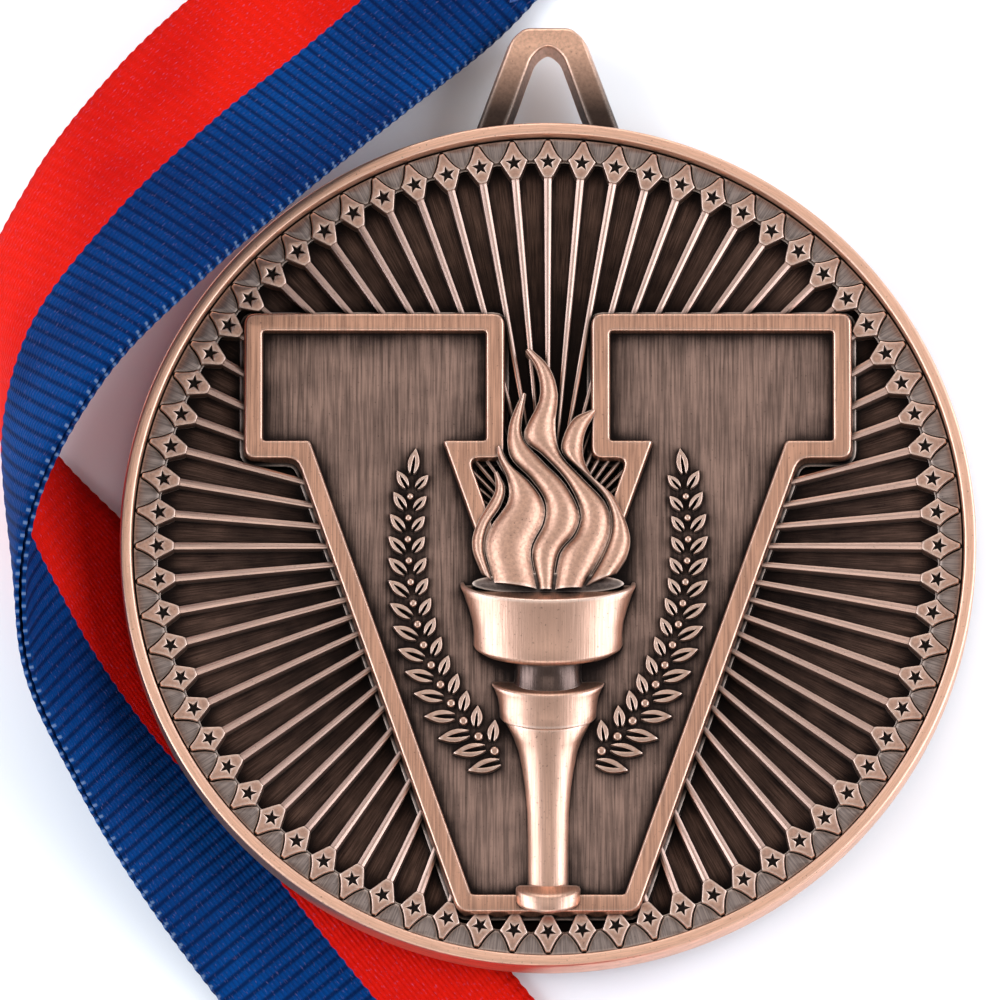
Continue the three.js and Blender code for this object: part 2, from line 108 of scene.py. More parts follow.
UP = np.array([0, 0, 1.0])


# ---- Mesh helpers ----


def unit(vectors):
    return vectors / np.linalg.norm(vectors, axis=-1, keepdims=True)


def distance_along(points):
    """The distance from the first point to each point along a line."""
    steps = np.linalg.norm(np.diff(points, axis=0), axis=1)
    return np.concatenate([[0], np.cumsum(steps)])


def curve(start, control, end, steps):
    """Points on a quadratic curve that starts and ends along the lines to its control point."""
    return [(1 - t) ** 2 * start + 2 * t * (1 - t) * control + t**2 * end
            for t in np.linspace(0, 1, steps)]


def ellipse(centre, reach_x, reach_y, count):
    """A flat loop, anticlockwise."""
    return [(centre[0] + reach_x * math.cos(angle), centre[1] + reach_y * math.sin(angle))
            for angle in np.linspace(0, 2 * math.pi, count, endpoint=False)]


def joined(parts):
    """Several (vertices, faces) pairs as one."""
    vertices, faces = [], []
    for part_vertices, part_faces in parts:
        first = len(vertices)
        vertices.extend(part_vertices)
        faces.extend([first + i for i in face] for face in part_faces)
    return vertices, faces


def mesh_piece(name, shape, material, body=MEDAL, stands_for=(), smooth_angle=40):
    """Makes an object from (vertices, faces) in millimetres and ties it to its CAD body."""
    vertices, faces = shape
    mesh = bpy.data.meshes.new(name)
    mesh.from_pydata([tuple(MM * c for c in v) for v in vertices], [], faces)
    mesh.materials.append(material)
    mesh.shade_smooth()
    if smooth_angle < 180:
        mesh.set_sharp_from_angle(angle=math.radians(smooth_angle))
    piece = bpy.data.objects.new(name, mesh)
    bpy.context.scene.collection.objects.link(piece)
    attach(piece, body)
    if stands_for:
        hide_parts(*stands_for)
    return piece


def grid_faces(rows, columns, closed_rows=False, closed_columns=False):
    """Quads over a grid of vertices numbered row by row."""
    faces = []
    for i in range(rows if closed_rows else rows - 1):
        for j in range(columns if closed_columns else columns - 1):
            a, b = i * columns + j, i * columns + (j + 1) % columns
            c, d = (i + 1) % rows * columns + (j + 1) % columns, (i + 1) % rows * columns + j
            faces.append([a, b, c, d])
    return faces


def turned(profile, segments=240):
    """A closed ring turned about the medal's axis, from [radius, height] points."""
    vertices = []
    for i in range(segments):
        angle = 2 * math.pi * i / segments
        for radius, height in profile:
            vertices.append((radius * math.cos(angle), radius * math.sin(angle), height))
    return vertices, grid_faces(segments, len(profile), True, True)


def offset_loop(loop, distance):
    """Moves a loop's sides outwards, away from the material on the left of its direction."""
    points = np.array(loop, float)
    before = unit(points - np.roll(points, 1, 0))
    after = unit(np.roll(points, -1, 0) - points)
    outward = np.stack([before[:, 1] + after[:, 1], -before[:, 0] - after[:, 0]], 1)
    return points + outward * (distance / (1 + (before * after).sum(1)))[:, None]


def cap(loops):
    """Triangles that fill the loops, numbered loop by loop, facing up."""
    flat = [[Vector((x, y, 0)) for x, y in loop] for loop in loops]
    points = [p for loop in flat for p in loop]
    faces = []
    for a, b, c in tessellate_polygon(flat):
        up = (points[b] - points[a]).cross(points[c] - points[a]).z > 0
        faces.append([a, b, c] if up else [a, c, b])
    return faces


def relief(loops, section):
    """A solid over flat loops: section lists [offset, height] from the foot up to the cap."""
    vertices, faces = [], []
    count = sum(len(loop) for loop in loops)
    for offset, height in section:
        for loop in loops:
            vertices.extend((x, y, height) for x, y in offset_loop(loop, offset))
    start = 0
    for loop in loops:
        for level in range(len(section) - 1):
            for j in range(len(loop)):
                a = level * count + start + j
                b = level * count + start + (j + 1) % len(loop)
                faces.append([a, b, b + count, a + count])
        start += len(loop)
    top = (len(section) - 1) * count
    triangles = cap([offset_loop(loop, section[-1][0]) for loop in loops])
    faces.extend([top + i for i in triangle] for triangle in triangles)
    faces.extend(triangle[::-1] for triangle in triangles)
    return vertices, faces


def cast_section(bottom, top, draft, edge, steps=4):
    """A wall that leans in by its draft and ends in a rounded edge."""
    section = [[draft, bottom], [0, top - edge]]
    for i in range(1, steps + 1):
        angle = math.pi / 2 * i / steps
        section.append([edge * (math.cos(angle) - 1), top - edge + edge * math.sin(angle)])
    return section


def through(points, at):
    """A smooth curve through points (uniform Catmull-Rom), at an array of places 0 … len - 1."""
    points = np.array(points, float)
    ends = [2 * points[:1] - points[1:2], points, 2 * points[-1:] - points[-2:-1]]
    padded = np.concatenate(ends)
    at = np.atleast_1d(np.asarray(at, float))
    i = np.clip(at.astype(int), 0, len(points) - 2)
    t = (at - i).reshape((-1,) + (1,) * (points.ndim - 1))
    p0, p1, p2, p3 = (padded[i + k] for k in range(4))
    bend = (p2 - p0) * t + (2 * p0 - 5 * p1 + 4 * p2 - p3) * t**2
    return p1 + 0.5 * (bend + (3 * p1 - 3 * p2 + p3 - p0) * t**3)


def turn(loop, angle):
    """A flat loop turned about the medal's centre."""
    c, s = math.cos(angle), math.sin(angle)
    return [(c * x - s * y, s * x + c * y) for x, y in loop]


def rounded(outline, radius, steps=5):
    """A polygon with each corner replaced by a short curve."""
    points = []
    for i, corner in enumerate(outline):
        here = np.array(corner, float)
        before = unit(outline[i - 1] - here)
        after = unit(outline[(i + 1) % len(outline)] - here)
        points += curve(here + before * radius, here, here + after * radius, steps)
    return points


# ---- Node helpers for materials ----


def add_node(tree, kind, inputs=None, **settings):
    """Adds a node: inputs are values or sockets by name or number, settings are its properties."""
    node = tree.nodes.new("ShaderNode" + kind)
    for key, value in settings.items():
        setattr(node, key, value)
    for key, value in (inputs or {}).items():
        if isinstance(value, bpy.types.NodeSocket):
            tree.links.new(value, node.inputs[key])
        else:
            node.inputs[key].default_value = value
    return node


def calculate(tree, operation, a, b=0.0, c=0.0):
    return add_node(tree, "Math", {0: a, 1: b, 2: c}, operation=operation).outputs[0]


def remap(tree, value, low, high, to_low=0.0, to_high=1.0):
    inputs = {"Value": value, "From Min": low, "From Max": high, "To Min": to_low, "To Max": to_high}
    return add_node(tree, "MapRange", inputs).outputs[0]


def mix_colour(tree, factor, a, b):
    """Sockets 6, 7 and 2 are the colour ones of a node that also mixes numbers and vectors."""
    return add_node(tree, "Mix", {0: factor, 6: a, 7: b}, data_type="RGBA").outputs[2]


def position(tree):
    """The surface's place in the medal's frame, in millimetres, as a vector socket."""
    coordinates = add_node(tree, "TexCoord").outputs["Object"]
    scaled = add_node(tree, "VectorMath", {0: coordinates, 3: 1 / MM}, operation="SCALE")
    return scaled.outputs[0]


def stretched_noise(tree, vector, x, y, z, detail=4.0):
    """Noise with its own frequency along each axis, in cycles per millimetre."""
    place = add_node(tree, "Mapping", {"Vector": vector, "Scale": (x, y, z)}).outputs[0]
    return add_node(tree, "TexNoise", {"Vector": place, "Scale": 1.0, "Detail": detail}).outputs[0]


def polar(tree, vector):
    """The place as (angle times the disc's radius, distance from the axis, height)."""
    split = add_node(tree, "SeparateXYZ", {0: vector}).outputs
    angle = calculate(tree, "ARCTAN2", split[1], split[0])
    around = calculate(tree, "MULTIPLY", angle, DISC_RADIUS)
    squares = calculate(tree, "MULTIPLY", split[0], split[0])
    squares = calculate(tree, "MULTIPLY_ADD", split[1], split[1], squares)
    radius = calculate(tree, "SQRT", squares)
    return add_node(tree, "CombineXYZ", {0: around, 1: radius, 2: split[2]}).outputs[0]


def new_material(name):
    material = bpy.data.materials.new(name)
    material.use_nodes = True
    tree = material.node_tree
    return material, tree, tree.nodes["Principled BSDF"]


# ---- Metal ----

PATINA = (0.013, 0.0095, 0.0085, 1)
BROWN = (0.36, 0.225, 0.175, 1)
SILVERY = (0.35, 0.27, 0.235, 1)
# Bare copper for worn edges, pale enough to serve as a painted highlight along them too.
WORN_EDGE_AND_HIGHLIGHT = (0.92, 0.72, 0.60, 1)

# How a grain runs: its frequency across and along, in cycles per millimetre.
UPRIGHT = ("straight", 7.0, 0.22)
AROUND = ("polar", 0.5, 9.0)
RADIAL = ("polar", 9.0, 0.35)
MATT = ("straight", 4.0, 4.0)


def cast_metal(name, colour, grain, reach=0.7, dark_at=0.4, bright_at=0.8, streaks=0.35,
               roughness=0.36, edge_wear_and_highlight=0.6, painted_shade_heights=None):
    """Antique-plated casting: bright where it was rubbed, dark patina left in every recess.

    reach is how far patina spreads from a wall. A place is fully dark where dark_at of its sky is
    open and fully rubbed at bright_at. If two heights along Y are given, the metal below the lower
    is painted dark as shade, not patina, and the painted shade thins out up to the higher.
    """
    material, tree, shader = new_material(name)
    place = position(tree)
    kind, across, along = grain
    grain_place = polar(tree, place) if kind == "polar" else place
    brushed = stretched_noise(tree, grain_place, across, along, 1.0)
    mottled = stretched_noise(tree, place, 0.4, 0.4, 0.4, 5.0)
    speckle = stretched_noise(tree, place, 5.0, 5.0, 5.0, 3.0)

    # Patina stays where little sky is open, unevenly.
    open_sky = add_node(tree, "AmbientOcclusion", {"Distance": reach * MM}, samples=8).outputs["AO"]
    uneven = calculate(tree, "MULTIPLY_ADD", mottled, 0.36, -0.18)
    uneven = calculate(tree, "MULTIPLY_ADD", brushed, 0.2, calculate(tree, "ADD", uneven, -0.1))
    bright_share = remap(tree, calculate(tree, "ADD", open_sky, uneven), dark_at, bright_at)
    # Painted shade: the bright share falls off below the given heights, darkening the metal there.
    if painted_shade_heights:
        height = add_node(tree, "SeparateXYZ", {0: place}).outputs[1]
        unshaded = remap(tree, height, painted_shade_heights[0], painted_shade_heights[1], 0.2, 1.0)
        unshaded = calculate(tree, "POWER", unshaded, 2.0)
        bright_share = calculate(tree, "MULTIPLY", bright_share, unshaded)

    # The rubbed metal has darker streaks along its grain, and pits.
    streak = remap(tree, brushed, 0.34, 0.62)
    streak = calculate(tree, "MULTIPLY_ADD", streak, streaks, 1 - streaks)
    worn_colour = mix_colour(tree, streak, [0.33 * c for c in colour[:3]] + [1], colour)
    pits = remap(tree, speckle, 0.64, 0.72)
    worn_colour = mix_colour(tree, calculate(tree, "MULTIPLY", pits, 0.5), worn_colour, PATINA)
    base = mix_colour(tree, bright_share, PATINA, worn_colour)

    # Edges are worn bare where they stand clear; their pale colour is real wear and also a painted
    # highlight.
    inwards = {"Distance": 0.3 * MM}
    edge = add_node(tree, "AmbientOcclusion", inwards, samples=8, inside=True, only_local=True)
    edge = remap(tree, edge.outputs["AO"], 0.93, 0.62, 0.0, edge_wear_and_highlight)
    edge = calculate(tree, "MULTIPLY", edge, remap(tree, open_sky, 0.2, 0.55))
    base = mix_colour(tree, edge, base, WORN_EDGE_AND_HIGHLIGHT)

    gloss = calculate(tree, "MULTIPLY_ADD", brushed, -0.2, roughness + 0.1)
    gloss = calculate(tree, "MULTIPLY_ADD", bright_share, -0.2, calculate(tree, "ADD", gloss, 0.2))
    tree.links.new(base, shader.inputs["Base Color"])
    tree.links.new(gloss, shader.inputs["Roughness"])
    shader.inputs["Metallic"].default_value = 1.0
    depth = calculate(tree, "MULTIPLY_ADD", speckle, 0.4, brushed)
    bump = add_node(tree, "Bump", {"Height": depth, "Distance": 0.02 * MM, "Strength": 0.6})
    tree.links.new(bump.outputs[0], shader.inputs["Normal"])
    return material


rim_metal = cast_metal("rim_metal", (0.86, 0.49, 0.335, 1), AROUND, reach=0.3, streaks=0.3,
                       roughness=0.42)
field_metal = cast_metal("field_metal", (0.20, 0.112, 0.08, 1), RADIAL, reach=1.5, dark_at=0.52,
                         bright_at=0.98, streaks=0.8, roughness=0.42, edge_wear_and_highlight=0.0)
ray_metal = cast_metal("ray_metal", (0.52, 0.335, 0.265, 1), RADIAL, reach=0.9, dark_at=0.5,
                       bright_at=0.88, streaks=0.25, roughness=0.43, edge_wear_and_highlight=0.35)
diamond_metal = cast_metal("diamond_metal", (0.54, 0.315, 0.23, 1), MATT, reach=0.4, dark_at=0.45,
                           bright_at=0.85, edge_wear_and_highlight=0.8)
patina_metal = cast_metal("patina_metal", (0.02, 0.015, 0.013, 1), MATT, edge_wear_and_highlight=0.0)
bed_metal = cast_metal("bed_metal", (0.06, 0.042, 0.035, 1), AROUND, reach=0.6, dark_at=0.55,
                       bright_at=0.95, edge_wear_and_highlight=0.6)
# Darker than the frame above it: painted shade, for the black band at the foot of the V and inside the
# torch's bowl.
shaded_step_metal = cast_metal("shaded_step_metal", (0.22, 0.16, 0.135, 1), MATT, reach=1.2, dark_at=0.5,
                        bright_at=0.9, edge_wear_and_highlight=0.7)
ledge_metal = cast_metal("ledge_metal", SILVERY, RADIAL, reach=0.6, dark_at=0.5, bright_at=0.9,
                         streaks=0.6, edge_wear_and_highlight=0.5)
panel_metal = cast_metal("panel_metal", BROWN, UPRIGHT, reach=2.6, dark_at=0.66, bright_at=1.06,
                         streaks=0.75, roughness=0.4, edge_wear_and_highlight=0.0)
frame_metal = cast_metal("frame_metal", (0.65, 0.345, 0.23, 1), UPRIGHT, reach=0.6, dark_at=0.5,
                         bright_at=0.9, streaks=0.6, edge_wear_and_highlight=0.8)
torch_metal = cast_metal("torch_metal", (0.66, 0.395, 0.285, 1), UPRIGHT, reach=0.8, dark_at=0.4,
                         bright_at=0.8, roughness=0.38)
flame_metal = cast_metal("flame_metal", (0.60, 0.345, 0.24, 1), MATT, reach=0.8, dark_at=0.42,
                         bright_at=0.85, roughness=0.47, edge_wear_and_highlight=0.4)
# The torch's neck gets a far darker copper than the rest of the torch: painted shade for the dark
# reflection in its middle.
neck_dark_reflection_metal = cast_metal("neck_dark_reflection_metal", (0.13, 0.085, 0.07, 1), UPRIGHT, reach=1.0, dark_at=0.45,
                        bright_at=0.9, roughness=0.26)
leaf_metal = cast_metal("leaf_metal", (0.49, 0.27, 0.185, 1), MATT, reach=0.4, dark_at=0.45,
                        bright_at=0.85, edge_wear_and_highlight=0.5)
# Painted shade: the loop is painted darker below Y 36 mm, thinning out by 41.5 mm, near the rim.
loop_metal = cast_metal("loop_metal", (0.82, 0.47, 0.32, 1), MATT, reach=0.8, painted_shade_heights=(36, 41.5),
                        edge_wear_and_highlight=0.7)
reverse_metal = cast_metal("reverse_metal", (0.50, 0.30, 0.21, 1), AROUND, reach=2.0, dark_at=0.5,
                           bright_at=0.95)


# ---- Disc and rim ----


def make_disc():
    """The body of the casting: its raised boss on the reverse, flange and sunken field."""
    underside = FIELD - 0.4  # of the field's own skin, which the reverse meets
    reverse_edge = DISC_RADIUS - 0.9
    field_edge = DISC_RADIUS - 0.35
    reverse = turned([
        (AXIS_HOLE, 0.0),
        (BOSS_RADIUS - 0.6, 0.0),
        (BOSS_RADIUS - 0.18, 0.1),
        (BOSS_RADIUS, 0.4),
        (BOSS_RADIUS + 0.12, FLANGE - 0.3),
        (BOSS_RADIUS + 0.4, FLANGE),
        (reverse_edge, FLANGE),
        (reverse_edge, underside),
        (AXIS_HOLE, underside),
    ][::-1])
    mesh_piece("medal_reverse", reverse, reverse_metal, stands_for=["medal_disc"])
    field = turned([
        (AXIS_HOLE, underside),
        (field_edge, underside),
        (field_edge, FIELD),
        (AXIS_HOLE, FIELD),
    ][::-1])
    mesh_piece("channel_field", field, field_metal)


def make_rim():
    """The rim and the medal's outer wall, with a fine step and a groove inside it."""
    profile = [
        (DISC_RADIUS - 1.2, FLANGE),
        (DISC_RADIUS - 0.5, FLANGE),
        (DISC_RADIUS - 0.12, FLANGE + 0.18),
        (DISC_RADIUS, FLANGE + 0.6),
        (DISC_RADIUS, RIM - 0.25),
        (DISC_RADIUS - 0.03, RIM - 0.12),
        (DISC_RADIUS - 0.1, RIM - 0.03),
        (DISC_RADIUS - 0.2, RIM),
        (RIM_INNER + 0.13, RIM),
        (RIM_INNER + 0.04, RIM - 0.04),
        (RIM_INNER, RIM - 0.13),
        (RIM_INNER - 0.08, LEDGE - 0.4),
        (DISC_RADIUS - 1.3, LEDGE - 0.4),
        (DISC_RADIUS - 1.3, FIELD - 0.2),
    ]
    mesh_piece("raised_rim_and_wall", turned(profile, 360), rim_metal, stands_for=["raised_rim"],
               smooth_angle=50)


# ---- Sunburst ----


def ray_bar(angle):
    """One ridge of the sunburst, from under the plaque out to its diamond, wider as it goes."""
    half = [(-0.36, FIELD - 0.05), (-0.29, RAY_TOP - 0.13), (-0.08, RAY_TOP)]
    section = half + [(-x, z) for x, z in reversed(half)]
    vertices = []
    for radius, width in ((3.0, 0.4), (DIAMOND_FOOT + 0.5, 1.0)):
        for x, z in section:
            vertices.append((*turn([(x * width, radius)], angle)[0], z))
    count = len(section)
    faces = grid_faces(2, count, closed_columns=True)
    faces.append(list(range(count)))
    faces.append(list(range(count, 2 * count))[::-1])
    return vertices, faces


def hollow_side(gap):
    """The hollowed upper right side of a ray's diamond, moved outwards by a gap."""
    corners = [(DIAMOND_HALF_WIDTH, DIAMOND_WIDE), (0.6, DIAMOND_WIDE + 0.42), (0.15, DIAMOND_TIP)]
    return [tuple(point) for point in curve(*(np.array(corners) + [gap, 0]), 5)]


def diamond_outline():
    """A ray's tip along +Y, anticlockwise."""
    right = [(0.29, DIAMOND_FOOT), (0.44, DIAMOND_FOOT + 0.2)] + hollow_side(0)
    return right + [(-x, y) for x, y in reversed(right)]


def island_outline():
    """The raised part of the ledge between two diamonds, centred on +Y, anticlockwise."""
    side = turn(hollow_side(0.15), RAY_PITCH / 2)
    right = [(-x, y) for x, y in side]
    reach = RAY_PITCH / 2 - 0.09 / LEDGE_OUTER
    rounding = [(LEDGE_OUTER * math.sin(a), LEDGE_OUTER * math.cos(a)) for a in np.linspace(reach, 0, 4)]
    half = right + rounding[:-1]
    top = rounding[-1]
    return half + [top] + [(-x, y) for x, y in reversed(half)]


def star_outline():
    """The sunken five-pointed star, clockwise because it is a hole."""
    points = []
    for i in range(10):
        radius = STAR_RADIUS if i % 2 == 0 else 0.42 * STAR_RADIUS
        angle = math.pi / 2 - i * math.pi / 5
        points.append((radius * math.cos(angle), STAR_CENTRE + radius * math.sin(angle)))
    return points


def ledge_outline():
    """The ring outside the channels, whose inner border arches between the diamonds."""
    outer, inner = [], []
    steps = 10
    for i in range(RAY_COUNT * steps):
        angle = RAY_PITCH * i / steps
        outer.append((LEDGE_OUTER * math.cos(angle), LEDGE_OUTER * math.sin(angle)))
        from_ray = abs((angle / RAY_PITCH + 0.5) % 1 - 0.5) * 2
        radius = DIAMOND_WIDE - 0.15 - 0.9 * (1 - from_ray) ** 2
        inner.append((radius * math.cos(-angle), radius * math.sin(-angle)))
    return [outer, inner]


def make_sunburst():
    angles = [RAY_PITCH * i for i in range(RAY_COUNT)]
    bars = joined([ray_bar(angle) for angle in angles])
    mesh_piece("ray_bars", bars, ray_metal, stands_for=["star_rays"],
               smooth_angle=30)
    floor_of_star = PANEL - 0.34
    plinth = cast_section(FIELD, floor_of_star, 0.06, 0.03, 1)
    face = cast_section(floor_of_star, PANEL, 0.04, 0.07, 3)
    tips = []
    for angle in angles:
        outline = turn(diamond_outline(), angle)
        tips.append(relief([outline], plinth))
        tips.append(relief([outline, turn(star_outline(), angle)], face))
    mesh_piece("star_diamonds", joined(tips), diamond_metal)
    disc = ellipse((0, STAR_CENTRE), 0.8 * STAR_RADIUS, 0.8 * STAR_RADIUS, 12)
    patina = cast_section(floor_of_star - 0.1, floor_of_star + 0.03, 0.0, 0.02, 1)
    stars = joined([relief([turn(disc, angle)], patina) for angle in angles])
    mesh_piece("sunken_star_floors", stars, patina_metal)
    bed = relief(ledge_outline(), cast_section(FIELD - 0.1, LEDGE - 0.3, 0.0, 0.06, 2))
    mesh_piece("scalloped_ledge_bed", bed, bed_metal)
    section = cast_section(LEDGE - 0.4, LEDGE, 0.05, 0.05, 2)
    islands = [relief([turn(island_outline(), angle + RAY_PITCH / 2)], section) for angle in angles]
    mesh_piece("ledge_islands", joined(islands), ledge_metal)


# ---- Plaque ----

# The right half of the plain block V, from its notch up and round to its foot.
PLAQUE_RIGHT = [
    (6.5, 7.1),
    (3.6, 7.1),
    (3.6, 19.1),
    (24.8, 19.1),
    (24.8, 7.1),
    (20.5, 7.1),
    (7.3, -30.5),
]
PLAQUE_NOTCH = (0, -11.3)


def plaque_outline():
    """The whole V, anticlockwise."""
    left = [(-x, y) for x, y in PLAQUE_RIGHT]
    return left + PLAQUE_RIGHT[::-1] + [PLAQUE_NOTCH]


def make_plaque():
    outer = rounded(plaque_outline(), 0.9)
    foot = cast_section(FIELD - 0.1, FIELD + 0.75, 0.1, 0.08, 2)
    # The foot step's darker metal is painted shade round the foot of the V.
    step = relief([offset_loop(outer, 0.42)], foot)
    mesh_piece("v_foot_step", step, shaded_step_metal)
    panel = relief([offset_loop(outer, -0.3)], cast_section(FIELD - 0.1, PANEL, 0.0, 0.02, 1))
    mesh_piece("v_brushed_panel", panel, panel_metal, stands_for=["v_panel"])
    inner = rounded(offset_loop(plaque_outline(), -FRAME_WIDTH), 0.25, 3)[::-1]
    section = cast_section(FIELD - 0.1, RIM, 0.22, 0.2, 4)
    wall = relief([outer, inner], section)
    mesh_piece("v_raised_frame", wall, frame_metal, stands_for=["v_frame"])


# ---- Torch ----


def half_turned(profile, depth_ratio, base, segments=48):
    """Half of a turned piece on the panel, leaning towards the medal's foot as it rises."""
    vertices = []
    for radius, y in profile:
        for i in range(segments + 1):
            angle = math.pi * i / segments
            height = depth_ratio * radius * math.sin(angle)
            vertices.append((radius * math.cos(angle), y - TORCH_LEAN * height, base + height))
    faces = [face[::-1] for face in grid_faces(len(profile), segments + 1)]
    count = segments + 1
    under = [i * count for i in range(len(profile))]
    over = [i * count + segments for i in range(len(profile))]
    faces.append(under + over[::-1])
    return vertices, faces


def make_torch():
    sunk = PANEL - 0.05
    handle = half_turned([
        (0.02, -28.35), (1.6, -28.35), (1.67, -28.1), (1.67, -24), (1.72, -22), (1.9, -20),
        (2.12, -18.5), (2.42, -17), (2.85, -15.8), (3.47, -14.6), (3.47, -14.3), (0.02, -14.3),
    ], 0.62, sunk)
    collar = half_turned([
        (0.02, -14.35), (3.78, -14.35), (3.95, -14.15), (3.98, -13.4), (4.12, -12.5), (4.42, -11.75),
        (4.6, -11.45), (4.55, -11.3), (4.1, -11.25), (0.02, -11.4),
    ], 0.5, sunk)
    neck = half_turned([
        (0.02, -11.6), (2.9, -11.6), (2.72, -11), (2.7, -10.2), (2.85, -9.4), (3.2, -8.9), (0.02, -8.8),
    ], 0.6, sunk)
    bowl = half_turned([
        (0.02, -9.3), (3.6, -9.3), (5.3, -8.85), (5.95, -8.45), (6.1, -8.2), (6.08, -7.2), (6.2, -6.2),
        (6.5, -5.1), (6.95, -3.8), (7.17, -3.35), (7.15, -3.12), (7.05, -3.03), (6.88, -3.05),
        (6.75, -3.3), (0.02, -3.35),
    ], 0.43, sunk)
    foot = half_turned([
        (0.02, -29.85), (2.3, -29.85), (2.52, -29.7), (2.64, -29.45), (2.64, -28.6), (2.55, -28.38),
        (2.3, -28.28), (0.02, -28.25),
    ], 0.62, RIM - 0.25)
    shapes = {"handle": handle, "collar": collar, "neck": neck, "bowl": bowl, "foot": foot}
    for name, shape in shapes.items():
        # The neck's darker metal is painted shade, for its dark reflection.
        metal = neck_dark_reflection_metal if name == "neck" else torch_metal
        mesh_piece("torch_turned_" + name, shape, metal, stands_for=["torch_" + name],
                   smooth_angle=50)
    # Painted shade: a dark filler across the bowl's mouth, in the darker step metal, so the inside of
    # the bowl reads as shaded.
    mouth = ellipse((0, -3.35), 6.2, 0.9, 40)
    inside = relief([mouth], cast_section(sunk, RIM + 0.06, 0.0, 0.05, 2))
    mesh_piece("torch_bowl_shaded_inside", inside, shaded_step_metal)


# ---- Flame ----

# Each tongue's left and right edges, from the bowl up to its tip.
FLAME_EDGES = [
    ([(-5.35, -2.5), (-6.1, -0.3), (-5.7, 1.6), (-4.4, 3.9), (-4.2, 5), (-4.3, 5.8)],
     [(-4.6, -3.1), (-5.3, -0.6), (-5, 1.4), (-3.9, 3.2), (-3.6, 4.6), (-4.2, 5.9)]),
    ([(-4.35, -3.3), (-5, -0.5), (-4.6, 1.3), (-3.2, 3.4), (-3.2, 5.2), (-4, 7.1), (-4.1, 8)],
     [(-0.95, -3.8), (-1.5, -0.6), (-0.5, 1.7), (-0.45, 3.3), (-1.5, 5), (-3.2, 6.6), (-3.95, 8.05)]),
    ([(-0.65, -3.85), (-1.2, -0.7), (-0.2, 1.6), (-0.15, 3.5), (-1.3, 5.3), (-3, 7.2), (-3.1, 9.7),
      (-2.05, 12.4)],
     [(0.3, -3.85), (0.75, -0.9), (2.1, 0.9), (2.45, 2.6), (1.3, 4.9), (-0.6, 6.9), (-2.2, 9),
      (-1.9, 12.4)]),
    ([(0.6, -3.85), (1.1, -0.9), (2.4, 0.8), (2.75, 2.7), (1.6, 5.2), (-0.3, 7.3), (-1.9, 8.9),
      (-0.6, 12), (-0.8, 14.4), (-1.75, 16)],
     [(2.75, -3.7), (4.3, -0.9), (5, 1.2), (4.6, 3.3), (2.6, 5.5), (0.9, 7.5), (0.5, 9.8),
      (0.7, 12.4), (0, 14.6), (-1.55, 16.15)]),
    ([(3.05, -3.6), (4.6, -1), (5.3, 1.3), (4.8, 3.6), (2.9, 5.8), (1.3, 7.4), (1.35, 8.8),
      (2.2, 10.3), (3.75, 11.05)],
     [(5.5, -2.5), (6.4, -0.9), (6.55, 1), (5.3, 3.9), (3.6, 5.5), (2.8, 7.3), (2.95, 9.2),
      (3.85, 10.95)]),
]


def tongue(left, right):
    """A swelling tongue of flame between two edges, with a low lip along each of its sides."""
    count = 36
    left_edge = through(left, np.linspace(0, len(left) - 1, count))
    right_edge = through(right, np.linspace(0, len(right) - 1, count))
    across = np.linspace(-1, 1, 13)
    lip = RIM + 0.02
    vertices = []
    for a, b in zip(left_edge, right_edge):
        middle, reach = (a + b) / 2, (b - a) / 2
        half_width = max(np.linalg.norm(reach), 0.02)
        towards = reach / half_width
        swell = min(0.85, 0.3 + 0.36 * half_width)
        reach = towards * (half_width + 0.05)
        outside = middle + towards * (half_width + 0.1)
        inside = 2 * middle - outside
        vertices += [(*inside, FIELD - 0.1), (*inside, lip)]
        for s in across:
            crown = (1 - abs(s) ** 2.3) ** 0.75
            vertices.append((*(middle + reach * s), lip + swell * crown))
        vertices += [(*outside, lip), (*outside, FIELD - 0.1)]
    columns = len(across) + 4
    faces = grid_faces(count, columns)
    faces.append(list(range(columns))[::-1])
    return vertices, faces


def make_flame():
    for i, (left, right) in enumerate(FLAME_EDGES, 1):
        mesh_piece("flame_%d" % i, tongue(left, right), flame_metal,
                   stands_for=["flame_tongue_%d" % i], smooth_angle=60)


# ---- Laurel sprays ----

# The line of the right spray's berries, from its foot up to its tip.
LAUREL_STEM = [
    (4.37, -17.1), (6.85, -14.68), (8.7, -11.77), (10.08, -8.58),
    (10.96, -5.16), (11.36, -1.55), (11.45, 1.3), (11.27, 4.0),
]
BERRY_COUNT = 14


def leaf_outline(length, width, slot):
    """A leaf along +X, anticlockwise: pointed, with a slot that is open at its base."""
    lower, inner = [], []
    for t in np.linspace(0, 1, 9):
        lower.append((length * t, -width / 2 * math.sin(math.pi * (0.16 + 0.84 * t))))
    for t in np.linspace(0, 1, 6):
        inner.append((0.72 * length * (1 - t), slot / 2 * (1 - (1 - t) ** 3)))
    upper = [(x, -y) for x, y in lower[-2::-1]]
    return lower + upper + inner[::-1] + [(x, -y) for x, y in inner[1:]]


